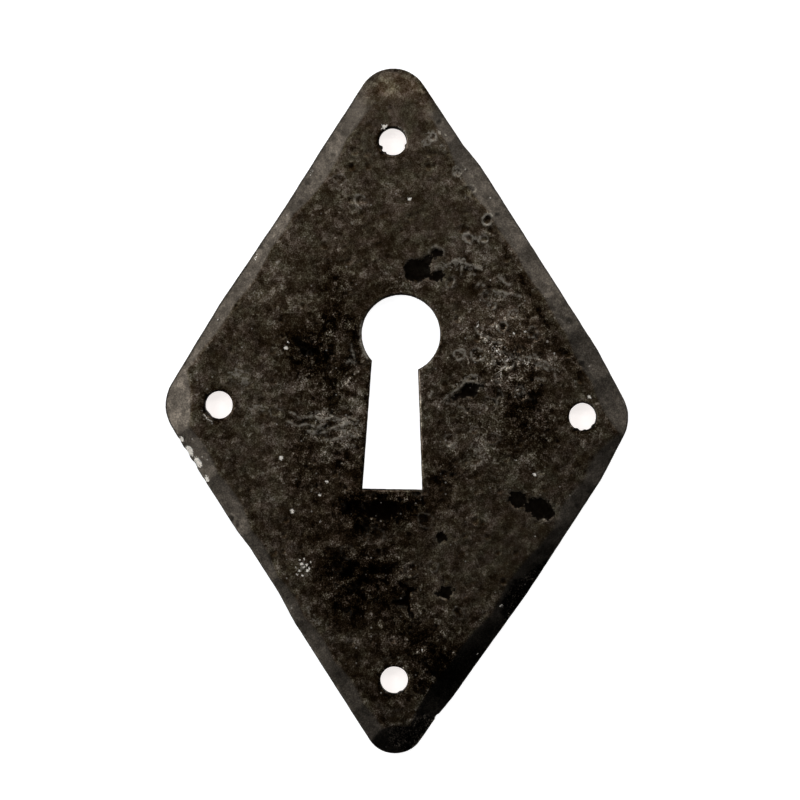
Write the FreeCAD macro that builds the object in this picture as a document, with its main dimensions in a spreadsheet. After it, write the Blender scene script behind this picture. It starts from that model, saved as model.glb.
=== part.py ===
# Hand-forged keyhole escutcheon: one diamond of black iron plate.
#
# Frame: the origin is the middle of the keyhole's round head, on the back face.
# +Z runs up the keyhole, +X to the right as seen from the front, and the front
# face looks along -Y. The plate fills Y = -plate_thickness to Y = 0, so the back
# lies against the door or drawer at Y = 0. All lengths are in millimetres.
#
# How the plate is made: a diamond is cut from flat plate, its four corners are
# rounded, its rim is beaten down all round with a slightly crowned hammer, and
# the keyhole and four nail or screw holes are cut through it and their front
# rims eased. Nothing about it is quite true, so each side keeps its own bends
# and each hammer blow its own place, reach and slope.
import FreeCAD, Part
import Sketcher
import math
import os

# How near two places are when they count as one, and the least volume a cut takes.
SAME_PLACE = 0.01
SMALLEST_CUT = 1.0

# Plain sizes of the plate: cell name, value, what it is.
PLATE_SIZES = (
    ("plate_thickness", 2.0, "thickness of the flat"),
    ("rim_ease", 0.15, "eased front rim of the keyhole and the holes"),
    ("hammer_crown", 70.0, "radius of the hammer's crowned face"),
    ("head_radius", 4.35, "keyhole, round head"),
    ("slot_left_shoulder", 3.21, "keyhole, left edge of the slot at the head"),
    ("slot_right_shoulder", 1.88, "keyhole, right edge of the slot at the head"),
    ("slot_left_foot", 4.27, "keyhole, left edge of the slot at its foot"),
    ("slot_right_foot", 2.34, "keyhole, right edge of the slot at its foot"),
    ("slot_foot_depth", 17.25, "keyhole, foot of the slot below the head's middle"),
    ("slot_foot_rise", 0.11, "keyhole, how much higher the foot is on the left"),
    ("screw_hole_radius", 1.52, "nail or screw hole"),
    ("top_hole_inset", 11.4, "top hole below the top corner"),
    ("right_hole_inset", 5.66, "right hole inside the right corner"),
    ("bottom_hole_inset", 10.95, "bottom hole above the bottom corner"),
    ("left_hole_inset", 6.72, "left hole inside the left corner"),
)

# The four corners of the diamond, where its sides would meet if they ran on:
# place along X, place along Z, radius of the rounding.
CORNERS = {
    "top": (-0.91, 32.73, 4.0),
    "right": (25.8, -9.17, 4.4),
    "bottom": (-0.75, -49.3, 3.4),
    "left": (-26.89, -7.85, 4.5),
}

# The four sides, clockwise as seen from the front, from corner to corner.
SIDES = {
    "upper_right": ("top", "right"),
    "lower_right": ("right", "bottom"),
    "lower_left": ("bottom", "left"),
    "upper_left": ("left", "top"),
}

# Bends in each side's cut edge: share of the way along the side, and how far
# the bend stands proud of the straight line between the two corners.
BENDS = {
    "upper_right": ((0.285, 0.3), (0.345, 0.66), (0.83, 0.65)),
    "lower_right": ((0.16, 0.84), (0.47, 0.98), (0.7, 0.55), (0.77, 0.46), (0.83, 0.14)),
    "lower_left": ((0.415, 0.12), (0.497, -0.16), (0.617, -0.12), (0.666, 0.12), (0.88, 0.15)),
    "upper_left": ((0.27, 0.34), (0.535, 0.03), (0.7, 0.1)),
}

# Hammer blows along each side: share of the way along the side, reach of the
# blow's crease inside the straight side, and slope of the blow in degrees.
SIDE_BLOWS = {
    "upper_right": (
        (0.24, 1.4, 14.0), (0.36, 1.95, 15.0), (0.49, 1.65, 15.0), (0.61, 1.65, 15.0),
        (0.73, 1.65, 14.0), (0.85, 2.15, 13.0), (0.97, 2.7, 12.0),
    ),
    "lower_right": (
        (0.13, 1.6, 6.0), (0.25, 1.5, 7.0), (0.37, 0.9, 14.0), (0.475, 1.5, 18.0),
        (0.58, 1.05, 18.0), (0.69, 2.0, 18.0), (0.79, 2.3, 18.0),
    ),
    "lower_left": (
        (0.12, 2.2, 9.0), (0.23, 2.1, 9.0), (0.35, 1.9, 9.0), (0.47, 1.7, 9.0),
        (0.6, 1.8, 10.0), (0.73, 2.2, 10.0), (0.86, 2.2, 10.0),
    ),
    "upper_left": (
        (0.16, 0.95, 16.0), (0.25, 1.35, 16.0), (0.37, 1.65, 16.0), (0.495, 1.5, 16.0),
        (0.66, 2.3, 16.0), (0.81, 2.1, 15.0),
    ),
}

# Hammer blows square across a corner: direction the blow faces in degrees from
# +X towards +Z, reach of its crease inside the corner, slope in degrees.
CORNER_BLOWS = {
    "top": (90.0, 6.6, 8.0),
    "bottom": (-80.0, 5.85, 15.0),
    "left": (180.0, 3.8, 13.0),
}

doc = FreeCAD.newDocument("KeyholeEscutcheon")
sheet = doc.addObject("Spreadsheet::Sheet", "Sizes")


def all_sizes():
    """Every driving size in turn: its name, its value and what it is."""
    yield from PLATE_SIZES
    for corner, (x, z, radius) in CORNERS.items():
        yield corner + "_x", x, corner + " corner, place along X"
        yield corner + "_z", z, corner + " corner, place along Z"
        yield corner + "_round", radius, corner + " corner, rounding"
    for side, bends in BENDS.items():
        for number, (share, proud) in enumerate(bends, 1):
            name = "%s_bend_%d" % (side, number)
            yield name + "_share", share, "share of the side"
            yield name + "_proud", proud, "proud of the straight side"
    for side, blows in SIDE_BLOWS.items():
        for number, (share, reach, slope) in enumerate(blows, 1):
            name = "%s_blow_%d" % (side, number)
            yield name + "_share", share, "share of the side"
            yield name + "_reach", reach, "crease inside the straight side"
            yield name + "_slope", slope, "slope in degrees"
    for corner, (facing, reach, slope) in CORNER_BLOWS.items():
        yield corner + "_blow_facing", facing, "facing in degrees, from +X towards +Z"
        yield corner + "_blow_reach", reach, "crease inside the corner"
        yield corner + "_blow_slope", slope, "slope in degrees"


def fill_sheet():
    """One row of the sheet for each driving size, under its own name."""
    for row, (name, value, note) in enumerate(all_sizes(), 1):
        sheet.set("A%d" % row, note)
        sheet.set("B%d" % row, str(value))
        sheet.setAlias("B%d" % row, name)
    doc.recompute()


def cell(name):
    """The expression that reads one size."""
    return "Sizes." + name


def size(name):
    """The value of one size, for geometry that a sketch starts from."""
    return float(sheet.get(name))


def origin_plane(body, role):
    """One of the body's own base planes."""
    return [plane for plane in body.Origin.OriginFeatures if plane.Role == role][0]


def front_sketch(body, name):
    """A sketch in the plane of the back face: its x is X and its y is Z."""
    sketch = body.newObject("Sketcher::SketchObject", name)
    sketch.AttachmentSupport = [(origin_plane(body, "XZ_Plane"), "")]
    sketch.MapMode = "FlatFace"
    return sketch


def bind(sketch, constraint, name, expression):
    """Add a constraint to a sketch, name it and tie it to the sheet."""
    index = sketch.addConstraint(constraint)
    sketch.renameConstraint(index, name)
    sketch.setExpression("Constraints." + name, expression)


def side_point(side, share, proud):
    """Expressions for a point of a side: a share along it, proud of the straight."""
    start, end = SIDES[side]
    run = "(%s - %s)" % (cell(end + "_x"), cell(start + "_x"))
    rise = "(%s - %s)" % (cell(end + "_z"), cell(start + "_z"))
    length = "sqrt(%s ^ 2 + %s ^ 2)" % (run, rise)
    x = "%s + %s * %s - %s * %s / %s" % (cell(start + "_x"), share, run, proud, rise, length)
    z = "%s + %s * %s + %s * %s / %s" % (cell(start + "_z"), share, rise, proud, run, length)
    return x, z


def side_facing(side):
    """Expression for the direction a side faces, in degrees from +X towards +Z."""
    start, end = SIDES[side]
    run = "%s - %s" % (cell(end + "_x"), cell(start + "_x"))
    fall = "%s - %s" % (cell(start + "_z"), cell(end + "_z"))
    return "atan2(%s; %s)" % (run, fall)


def evaluate(x, z):
    """Numbers for a pair of expressions, for geometry that a sketch starts from."""
    return float(sheet.evalExpression(x)), float(sheet.evalExpression(z))


def outline_points():
    """The cut outline's corners and bends in order: name, x and z expressions."""
    points = []
    for side, (start, _) in SIDES.items():
        points.append((start + "_corner", cell(start + "_x"), cell(start + "_z")))
        for number in range(1, len(BENDS[side]) + 1):
            name = "%s_bend_%d" % (side, number)
            x, z = side_point(side, cell(name + "_share"), cell(name + "_proud"))
            points.append((name, x, z))
    return points


def cut_blank(body):
    """The flat diamond blank, sharp at its corners."""
    sketch = front_sketch(body, "Outline")
    points = outline_points()
    places = [evaluate(x, z) for _, x, z in points]
    vectors = [FreeCAD.Vector(x, z, 0) for x, z in places]
    for start, end in zip(vectors, vectors[1:] + vectors[:1]):
        sketch.addGeometry(Part.LineSegment(start, end), False)
    for index in range(len(points)):
        following = (index + 1) % len(points)
        sketch.addConstraint(Sketcher.Constraint("Coincident", index, 2, following, 1))
    for index, (name, x, z) in enumerate(points):
        across, up = places[index]
        bind(sketch, Sketcher.Constraint("DistanceX", -1, 1, index, 1, across), name + "_x", x)
        bind(sketch, Sketcher.Constraint("DistanceY", -1, 1, index, 1, up), name + "_z", z)
    pad = body.newObject("PartDesign::Pad", "Blank")
    pad.Profile = sketch
    pad.setExpression("Length", cell("plate_thickness"))
    doc.recompute()
    if pad.Shape.BoundBox.YMin > -size("plate_thickness") / 2:
        pad.Reversed = True
        doc.recompute()
    return pad


def edge_names(feature, wanted):
    """Names of the feature's edges that answer to a test."""
    edges = feature.Shape.Edges
    return ["Edge%d" % number for number, edge in enumerate(edges, 1) if wanted(edge)]


def round_corner(body, corner):
    """Round one corner of the blank over its full thickness."""
    blank = body.Tip
    x = size(corner + "_x")
    z = size(corner + "_z")

    def at_corner(edge):
        return all(math.hypot(v.X - x, v.Z - z) < SAME_PLACE for v in edge.Vertexes)

    rounding = body.newObject("PartDesign::Fillet", corner.capitalize() + "Rounding")
    rounding.Base = (blank, edge_names(blank, at_corner))
    rounding.setExpression("Radius", cell(corner + "_round"))
    doc.recompute()


def strike(body, name, x, z, facing):
    """One hammer blow: a crowned, sloping hollow from its crease out over the rim.

    The crowned face is part of a cylinder that starts one reach inside the crease,
    clear of the flat, and is as long as its own crown radius, well past the rim.
    """
    blow = body.newObject("PartDesign::SubtractiveCylinder", name)
    reach = cell(name + "_reach")
    blow.setExpression("Radius", cell("hammer_crown"))
    blow.setExpression("Height", cell("hammer_crown"))
    on_face = (
        "placement(vector(%s; -Sizes.plate_thickness; %s); rotation(vector(0; 1; 0); -(%s)))"
        % (x, z, facing)
    )
    down_slope = "placement(vector(-%s; 0; 0); rotation(vector(0; 0; 1); %s))" % (
        reach, cell(name + "_slope"))
    crown = "placement(vector(-%s; -Sizes.hammer_crown; 0); rotation(vector(0; 1; 0); 90))" % reach
    blow.setExpression("Placement", "%s * %s * %s" % (on_face, down_slope, crown))
    doc.recompute()


def beat_rim(body):
    """Beat the rim down: a row of blows along each side, then across the corners."""
    for side, blows in SIDE_BLOWS.items():
        for number in range(1, len(blows) + 1):
            name = "%s_blow_%d" % (side, number)
            x, z = side_point(side, cell(name + "_share"), "0")
            strike(body, name, x, z, side_facing(side))
    for corner in CORNER_BLOWS:
        name = corner + "_blow"
        strike(body, name, cell(corner + "_x"), cell(corner + "_z"), cell(name + "_facing"))


def cut_through(body, sketch, name):
    """Cut a closed sketch through the whole plate."""
    solid_before = body.Tip.Shape.Volume
    pocket = body.newObject("PartDesign::Pocket", name)
    pocket.Profile = sketch
    pocket.Type = "ThroughAll"
    pocket.Midplane = True
    doc.recompute()
    if pocket.Shape.Volume > solid_before - SMALLEST_CUT:
        raise RuntimeError(name + " cuts nothing")


def cut_keyhole(body):
    """The keyhole: a round head and a slot that widens to its foot."""
    sketch = front_sketch(body, "KeyholeShape")
    radius = size("head_radius")
    left = -size("slot_left_shoulder")
    right = size("slot_right_shoulder")
    left_shoulder = FreeCAD.Vector(left, -math.sqrt(radius ** 2 - left ** 2), 0)
    right_shoulder = FreeCAD.Vector(right, -math.sqrt(radius ** 2 - right ** 2), 0)
    left_foot = FreeCAD.Vector(
        -size("slot_left_foot"), size("slot_foot_rise") - size("slot_foot_depth"), 0)
    right_foot = FreeCAD.Vector(size("slot_right_foot"), -size("slot_foot_depth"), 0)
    head_top = FreeCAD.Vector(0, radius, 0)
    head = sketch.addGeometry(Part.Arc(right_shoulder, head_top, left_shoulder), False)
    left_edge = sketch.addGeometry(Part.LineSegment(left_shoulder, left_foot), False)
    foot = sketch.addGeometry(Part.LineSegment(left_foot, right_foot), False)
    right_edge = sketch.addGeometry(Part.LineSegment(right_foot, right_shoulder), False)
    sketch.addConstraint(Sketcher.Constraint("Coincident", head, 3, -1, 1))
    sketch.addConstraint(Sketcher.Constraint("Coincident", head, 2, left_edge, 1))
    sketch.addConstraint(Sketcher.Constraint("Coincident", left_edge, 2, foot, 1))
    sketch.addConstraint(Sketcher.Constraint("Coincident", foot, 2, right_edge, 1))
    sketch.addConstraint(Sketcher.Constraint("Coincident", right_edge, 2, head, 1))
    bind(sketch, Sketcher.Constraint("Radius", head, radius), "head", cell("head_radius"))
    bind(sketch, Sketcher.Constraint("DistanceX", -1, 1, left_edge, 1, left),
         "left_shoulder", "-Sizes.slot_left_shoulder")
    bind(sketch, Sketcher.Constraint("DistanceX", -1, 1, head, 1, right),
         "right_shoulder", cell("slot_right_shoulder"))
    bind(sketch, Sketcher.Constraint("DistanceX", -1, 1, foot, 1, left_foot.x),
         "left_foot", "-Sizes.slot_left_foot")
    bind(sketch, Sketcher.Constraint("DistanceY", -1, 1, foot, 1, left_foot.y),
         "left_foot_height", "Sizes.slot_foot_rise - Sizes.slot_foot_depth")
    bind(sketch, Sketcher.Constraint("DistanceX", -1, 1, foot, 2, right_foot.x),
         "right_foot", cell("slot_right_foot"))
    bind(sketch, Sketcher.Constraint("DistanceY", -1, 1, foot, 2, right_foot.y),
         "right_foot_height", "-Sizes.slot_foot_depth")
    cut_through(body, sketch, "Keyhole")


def hole_places():
    """Where the four holes lie: each on its corner's own centre line."""
    return {
        "top": (cell("top_x"), "Sizes.top_z - Sizes.top_hole_inset"),
        "right": ("Sizes.right_x - Sizes.right_hole_inset", cell("right_z")),
        "bottom": (cell("bottom_x"), "Sizes.bottom_z + Sizes.bottom_hole_inset"),
        "left": ("Sizes.left_x + Sizes.left_hole_inset", cell("left_z")),
    }


def cut_holes(body):
    """The four nail or screw holes, all in one sketch and one cut."""
    sketch = front_sketch(body, "HoleCentres")
    for name, (x, z) in hole_places().items():
        across, up = evaluate(x, z)
        circle = sketch.addGeometry(
            Part.Circle(FreeCAD.Vector(across, up, 0), FreeCAD.Vector(0, 0, 1),
                        size("screw_hole_radius")), False)
        bind(sketch, Sketcher.Constraint("DistanceX", -1, 1, circle, 3, across), name + "_x", x)
        bind(sketch, Sketcher.Constraint("DistanceY", -1, 1, circle, 3, up), name + "_z", z)
        bind(sketch, Sketcher.Constraint("Radius", circle, size("screw_hole_radius")),
             name + "_radius", cell("screw_hole_radius"))
    cut_through(body, sketch, "ScrewHoles")


def ease_rims(body):
    """Ease the front rims of the keyhole and of the holes."""
    plate = body.Tip
    front = -size("plate_thickness")
    places = [evaluate(x, z) for x, z in hole_places().values()]
    hole_reach = size("screw_hole_radius") + SAME_PLACE
    keyhole_box = (-max(size("head_radius"), size("slot_left_foot")), size("head_radius"),
                   -size("slot_foot_depth"), size("head_radius"))

    def on_a_rim(edge):
        box = edge.BoundBox
        if abs(box.YMin - front) > SAME_PLACE or abs(box.YMax - front) > SAME_PLACE:
            return False
        middle = box.Center
        in_keyhole = (
            box.XMin > keyhole_box[0] - SAME_PLACE and box.XMax < keyhole_box[1] + SAME_PLACE
            and box.ZMin > keyhole_box[2] - SAME_PLACE and box.ZMax < keyhole_box[3] + SAME_PLACE)
        in_hole = any(
            math.hypot(middle.x - x, middle.z - z) < SAME_PLACE
            and box.XLength < 2 * hole_reach for x, z in places)
        return in_keyhole or in_hole

    easing = body.newObject("PartDesign::Chamfer", "EasedRims")
    easing.Base = (plate, edge_names(plate, on_a_rim))
    easing.setExpression("Size", cell("rim_ease"))
    doc.recompute()


def check_model(body):
    """Stop if any feature failed or the plate isn't one sound solid."""
    for item in doc.Objects:
        if "Invalid" in item.State or "Error" in item.State:
            raise RuntimeError("%s failed: %s" % (item.Name, item.State))
    if body.Shape.isNull() or not body.Shape.isValid():
        raise RuntimeError("the plate isn't a sound shape")
    if len(body.Shape.Solids) != 1:
        raise RuntimeError("the plate isn't one solid")


fill_sheet()
escutcheon = doc.addObject("PartDesign::Body", "EscutcheonPlate")
escutcheon.Label = "escutcheon_plate"
cut_blank(escutcheon)
for corner_name in CORNERS:
    round_corner(escutcheon, corner_name)
beat_rim(escutcheon)
cut_keyhole(escutcheon)
cut_holes(escutcheon)
ease_rims(escutcheon)
doc.recompute()
check_model(escutcheon)

os.makedirs("parts", exist_ok=True)
escutcheon.Shape.exportStep("parts/%s.step" % escutcheon.Label)
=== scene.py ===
# Looks of the forged keyhole escutcheon: one beaten iron plate under fire scale,
# with its hammered relief, pits, blisters of scale and worn rim.
import math
from functools import partial

import bmesh
import bpy
import numpy as np
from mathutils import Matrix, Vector, noise
from mathutils.bvhtree import BVHTree
from mathutils.geometry import delaunay_2d_cdt
from mathutils.kdtree import KDTree


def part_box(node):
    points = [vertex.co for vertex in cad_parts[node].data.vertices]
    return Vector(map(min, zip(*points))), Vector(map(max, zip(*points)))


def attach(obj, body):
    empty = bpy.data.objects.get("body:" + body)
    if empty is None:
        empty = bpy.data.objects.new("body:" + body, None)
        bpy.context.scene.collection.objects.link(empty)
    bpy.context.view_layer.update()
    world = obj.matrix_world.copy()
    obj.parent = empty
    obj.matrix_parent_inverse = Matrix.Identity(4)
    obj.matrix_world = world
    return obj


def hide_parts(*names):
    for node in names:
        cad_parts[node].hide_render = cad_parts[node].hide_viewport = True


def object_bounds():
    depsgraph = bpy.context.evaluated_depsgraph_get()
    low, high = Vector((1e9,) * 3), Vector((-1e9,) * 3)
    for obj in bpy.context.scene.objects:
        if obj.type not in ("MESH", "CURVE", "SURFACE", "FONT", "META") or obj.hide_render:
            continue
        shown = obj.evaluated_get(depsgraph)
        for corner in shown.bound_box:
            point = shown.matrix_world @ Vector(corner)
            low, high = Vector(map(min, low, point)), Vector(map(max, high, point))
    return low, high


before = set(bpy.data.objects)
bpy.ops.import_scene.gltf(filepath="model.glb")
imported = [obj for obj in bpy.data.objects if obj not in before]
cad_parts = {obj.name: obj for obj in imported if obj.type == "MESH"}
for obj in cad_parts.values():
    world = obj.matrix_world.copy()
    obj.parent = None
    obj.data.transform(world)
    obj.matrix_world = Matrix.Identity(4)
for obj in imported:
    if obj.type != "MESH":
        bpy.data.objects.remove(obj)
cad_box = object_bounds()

bl_info = {
    "name": "Forged Keyhole Escutcheon",
    "version": (1, 0, 0),
    "blender": (4, 5, 0),
    "location": "3D View > Sidebar > Escutcheon",
    "description": "Dresses the escutcheon plate as hand-forged iron in a pale studio",
    "category": "Object",
}

MM = 0.001
PLATE_NODE = "escutcheon_plate"
BODY = "root"
MATH, VECTOR, RANGE = "ShaderNodeMath", "ShaderNodeVectorMath", "ShaderNodeMapRange"
NOISE, MIX = "ShaderNodeTexNoise", "ShaderNodeMix"

# Small tools


def linear(hex_colour):
    """An sRGB hex colour as the linear RGBA that Blender's colour sockets take."""
    values = []
    for start in (1, 3, 5):
        share = int(hex_colour[start:start + 2], 16) / 255
        values.append(share / 12.92 if share <= 0.04045 else ((share + 0.055) / 1.055) ** 2.4)
    return (*values, 1.0)


def add_node(tree, kind, inputs=(), output=0, **settings):
    """Add a node with its settings, set or link its inputs, and give back an output.

    Inputs come in order or by name. With None as output it gives back all of them.
    """
    node = tree.nodes.new(kind)
    for name, value in settings.items():
        setattr(node, name, value)
    for key, value in inputs.items() if isinstance(inputs, dict) else enumerate(inputs):
        if isinstance(value, bpy.types.NodeSocket):
            tree.links.new(value, node.inputs[key])
        else:
            node.inputs[key].default_value = value
    return node.outputs[output] if node.outputs and output is not None else node.outputs


def link_object(name, mesh):
    """A new object for a mesh, in the scene's own collection."""
    made = bpy.data.objects.new(name, mesh)
    bpy.context.scene.collection.objects.link(made)
    return made


def smoothstep(low, high, values):
    """Rise smoothly from 0 at low to 1 at high."""
    share = np.clip((values - low) / (high - low), 0.0, 1.0)
    return share * share * (3 - 2 * share)


# What is where on the plate
# All places are in millimetres on the front, X to the right and Z up.

# Round pits with a raised pale lip: x, z, radius of the lip, depth, how pale.
RING_PITS = (
    (3.6, 21.8, 0.45, 0.05, 1.2), (6.2, 17.9, 0.5, 0.05, 0.6), (7.6, 15.9, 0.6, 0.05, 0.35),
    (9.6, 12.6, 0.62, 0.09, 1.4), (7.4, 10.6, 0.55, 0.05, 1.1), (9.2, 10.5, 0.5, 0.05, 1.0),
    (5.4, 5.7, 0.5, 0.05, 0.6), (11.3, 0.8, 0.55, 0.09, 1.4), (8.6, 0.5, 0.4, 0.04, 0.5),
    (14.6, 0.1, 0.6, 0.06, 0.7), (8.4, -2.3, 0.75, 0.09, 1.4), (6.5, -2.3, 0.5, 0.05, 0.9),
    (10.95, -4.95, 0.45, 0.04, 0.5), (-6.5, -10.05, 0.4, 0.04, 0.5),
    (-4.6, 14.8, 0.65, 0.06, 0.6), (-6.8, 17.1, 0.6, 0.04, 0.4), (-13.9, -8.6, 0.55, 0.05, 0.4),
    (1.3, -26.1, 0.85, 0.04, 0.25), (3.5, -25.8, 0.6, 0.04, 0.3), (5.4, -11.7, 0.7, 0.04, 0.3),
    (8.2, -13.9, 0.8, 0.04, 0.35), (10.1, -11.7, 0.7, 0.04, 0.25), (2.7, -20.6, 0.8, 0.03, 0.2),
    (12.0, -3.2, 0.5, 0.05, 0.9), (10.2, 3.1, 0.45, 0.05, 0.8), (12.4, 2.2, 0.45, 0.05, 0.5),
    (9.3, 4.1, 0.5, 0.05, 0.5), (-9.0, -11.2, 0.7, 0.05, 0.4), (-6.6, -9.6, 0.5, 0.05, 0.4),
    (13.2, -6.2, 0.5, 0.04, 0.5), (9.9, -7.6, 0.6, 0.04, 0.4), (-2.8, -22.4, 0.9, 0.02, 0.15),
    (-5.9, -24.2, 0.7, 0.03, 0.15), (6.4, -30.9, 0.7, 0.04, 0.3),
)

# Patches of thick black scale: x, z, half-widths across and up, turn in degrees.
BLACK_PATCHES = (
    (1.75, 7.1, 1.5, 1.3, 0), (3.0, 8.2, 0.7, 0.55, 30), (4.0, 8.95, 0.85, 0.6, 0),
    (3.95, 6.4, 0.9, 0.7, 0), (2.9, 6.5, 0.6, 0.5, 0), (7.5, -6.3, 1.35, 0.7, 22),
    (6.3, -6.8, 0.7, 0.4, 10), (8.6, -5.7, 0.5, 0.35, 0), (12.9, -18.3, 1.15, 0.95, -20),
    (14.1, -19.0, 0.9, 0.5, -15), (15.4, -19.3, 1.6, 1.25, -15), (16.4, -19.9, 0.7, 0.7, 0),
    (4.95, -28.7, 1.05, 0.68, 15), (4.5, -22.7, 0.6, 0.75, 20), (-2.1, -19.6, 1.9, 1.0, 4),
    (-3.1, -19.4, 1.0, 0.7, 0), (-0.7, -19.2, 0.9, 0.5, -10), (1.95, -17.75, 0.45, 0.25, 0),
)

# Small flecks of bare iron and grit, their near-white partly a painted glint: x, z,
# radius, how bright.
BRIGHT_FLECKS_AND_GLINTS = (
    (0.9, 14.9, 0.19, 1.0), (-12.7, -1.5, 0.22, 1.0), (-12.5, -1.0, 0.15, 0.8),
    (-13.3, -13.7, 0.22, 1.0), (-8.2, -16.4, 0.18, 1.0), (-9.0, -17.8, 0.2, 0.7),
    (-12.1, -19.6, 0.24, 0.9), (-9.0, -20.7, 0.16, 0.6), (20.8, -7.0, 0.24, 1.0),
    (14.8, -15.6, 0.2, 1.0), (12.7, -14.0, 0.16, 0.6), (14.8, -22.4, 0.16, 0.6),
    (11.1, -30.1, 0.2, 0.5), (8.5, 0.9, 0.18, 0.8), (8.5, 1.3, 0.13, 0.6),
    (10.4, -1.5, 0.14, 0.7), (12.5, 0.0, 0.16, 0.8), (13.7, 0.3, 0.2, 0.6),
    (16.3, -0.8, 0.16, 0.6), (-9.8, -17.2, 0.12, 0.6), (-11.0, -25.4, 0.17, 1.0),
    (-10.4, -26.2, 0.16, 1.0), (-11.3, -26.2, 0.15, 0.9), (-10.7, -24.9, 0.14, 0.9),
    (-10.5, -25.6, 0.15, 1.0), (-11.2, -25.0, 0.13, 0.9), (-10.9, -26.7, 0.14, 0.9),
    (-11.6, -25.8, 0.12, 0.9), (-10.1, -25.2, 0.12, 0.9), (-10.8, -25.9, 0.14, 1.0),
    (-11.5, -26.6, 0.1, 0.9), (-10.2, -25.9, 0.12, 0.9), (16.9, -2.1, 0.16, 0.6),
    (13.0, -10.4, 0.13, 0.5), (-20.1, 1.7, 0.14, 0.6), (7.0, -2.7, 0.12, 0.5),
    (-1.9, 22.9, 0.2, 1.0), (-1.6, 23.0, 0.15, 1.0), (2.6, -44.6, 0.14, 0.5),
    (8.5, -35.5, 0.12, 0.5), (4.2, -33.5, 0.13, 0.5), (-15.7, 4.4, 0.14, 0.4),
)

# Marks that run in a line, from x, z to x, z, half as wide as given: how much lighter
# or darker it is there. They are long scratches and the eased edges of the slot; on the
# slot's right and bottom edges, which face the light, the lighter line is a painted highlight,
# and on its left edge the darker line is painted shade.
STROKES_AND_EDGE_LIGHT = (
    (1.95, -3.6, 2.62, -17.1, 0.14, 1.1), (-4.2, -17.42, 2.4, -17.42, 0.13, 1.0),
    (-3.55, -3.6, -4.5, -17.1, 0.2, -0.9), (-5.05, -1.2, -5.0, 1.8, 0.4, -1.8),
    (-5.3, 0.4, -4.9, 3.0, 0.14, 1.0), (3.4, -3.2, 8.0, -5.4, 0.1, 0.7),
    (4.0, -2.6, 7.2, -4.6, 0.1, 0.5), (10.1, 5.0, 12.6, 4.3, 0.16, 1.2),
    (9.8, 3.6, 12.0, 3.9, 0.14, 0.9), (6.3, 4.2, 6.9, 4.9, 0.16, 0.9),
    (-18.1, -4.1, -18.5, 0.4, 0.1, 0.5), (-8.1, -5.6, -9.9, -6.2, 0.14, 0.9),
    (-7.8, -8.9, -6.2, -9.9, 0.14, 0.9), (-9.8, -5.0, -7.2, -4.3, 0.12, 0.8),
    (-13.6, -14.9, -16.0, -15.6, 0.16, 0.7), (7.6, -5.2, 8.9, -5.0, 0.16, 1.0),
    (16.2, -20.6, 17.8, -20.4, 0.12, 0.8), (3.4, -42.2, 7.2, -38.8, 0.12, 0.7),
    (-1.2, -43.4, 3.0, -42.2, 0.13, 2.4), (7.3, 9.7, 9.5, 8.2, 0.16, 0.5),
)

# Pale crusted ridges between burst blisters: how pale, then the places each runs through.
RIDGES = (
    (1.0, (5.3, 7.75), (5.9, 8.2), (6.5, 8.0), (7.2, 7.75), (8.1, 7.5), (8.75, 7.3)),
    (0.5, (3.0, 8.5), (3.1, 9.45), (3.9, 9.75), (4.65, 9.45), (4.75, 8.8)),
    (0.7, (6.75, 8.4), (7.2, 7.75)),
    (0.6, (6.65, 7.75), (6.75, 6.65)),
    (0.6, (8.3, 5.2), (8.75, 5.75), (9.2, 5.4)),
    (0.8, (9.95, 4.85), (10.95, 4.65), (12.05, 4.45), (13.15, 4.2)),
    (0.7, (10.75, 6.65), (11.2, 6.0), (11.85, 5.4), (12.3, 5.55)),
    (0.6, (6.85, 10.5), (7.1, 11.05), (8.1, 11.0), (8.3, 10.5)),
    (0.6, (8.75, 10.2), (8.65, 10.85), (9.2, 11.2), (9.75, 11.1)),
    (0.9, (9.2, -0.05), (10.2, -0.75), (11.2, -0.95)),
    (0.7, (10.05, -2.3), (10.35, -3.4)),
    (0.8, (10.7, -1.85), (11.95, -2.2), (12.95, -2.7), (13.75, -3.2)),
    (0.7, (12.75, -2.65), (13.85, -2.55)),
    (0.6, (14.7, -3.3), (16.0, -3.1), (17.0, -4.1), (17.1, -5.1)),
    (0.4, (14.95, -4.85), (16.0, -5.1)),
    (0.4, (10.7, -6.1), (11.45, -6.85), (10.7, -7.1)),
    (0.9, (3.4, -6.35), (3.15, -6.95)),
    (0.8, (4.65, -7.1), (5.3, -6.85), (5.9, -6.35), (7.2, -5.35), (8.2, -5.2), (8.8, -5.7)),
    (0.5, (5.15, -7.6), (6.65, -8.1), (7.4, -8.75)),
    (0.8, (-12.3, -8.7), (-11.2, -9.25), (-9.5, -9.1), (-8.7, -9.5), (-7.85, -9.25)),
    (0.8, (-12.55, -9.65), (-11.45, -10.2), (-10.35, -9.95), (-9.25, -10.35), (-8.3, -9.8)),
    (1.0, (-10.35, -10.75), (-9.25, -11.05), (-8.15, -10.65), (-7.0, -10.2), (-5.9, -9.95)),
    (0.7, (-7.85, -8.95), (-6.75, -9.5), (-5.65, -9.25), (-4.8, -9.65)),
    (0.7, (-8.4, -11.75), (-6.75, -11.6), (-5.65, -11.2), (-4.8, -11.45)),
    (0.6, (-6.75, -12.85), (-5.9, -12.3), (-5.1, -12.4)),
    (0.8, (-4.3, 1.5), (-4.45, 0.7), (-4.52, -0.1), (-4.37, -1.2), (-4.1, -2.0), (-3.75, -2.7)),
    (0.4, (-5.55, -1.2), (-5.3, -2.3), (-5.1, -2.8)),
    (0.6, (-6.0, -3.2), (-5.6, -2.9), (-5.1, -3.3)),
)

# Cracks that run out from one point, each through its own x, z.
CRACKS = (
    ((0.0, -27.7), (0.94, -28.4), (0.63, -29.65), (1.24, -31.3)),
    ((-0.6, -29.8), (0.63, -29.5)), ((0.94, -28.4), (1.7, -28.3)),
)

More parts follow.
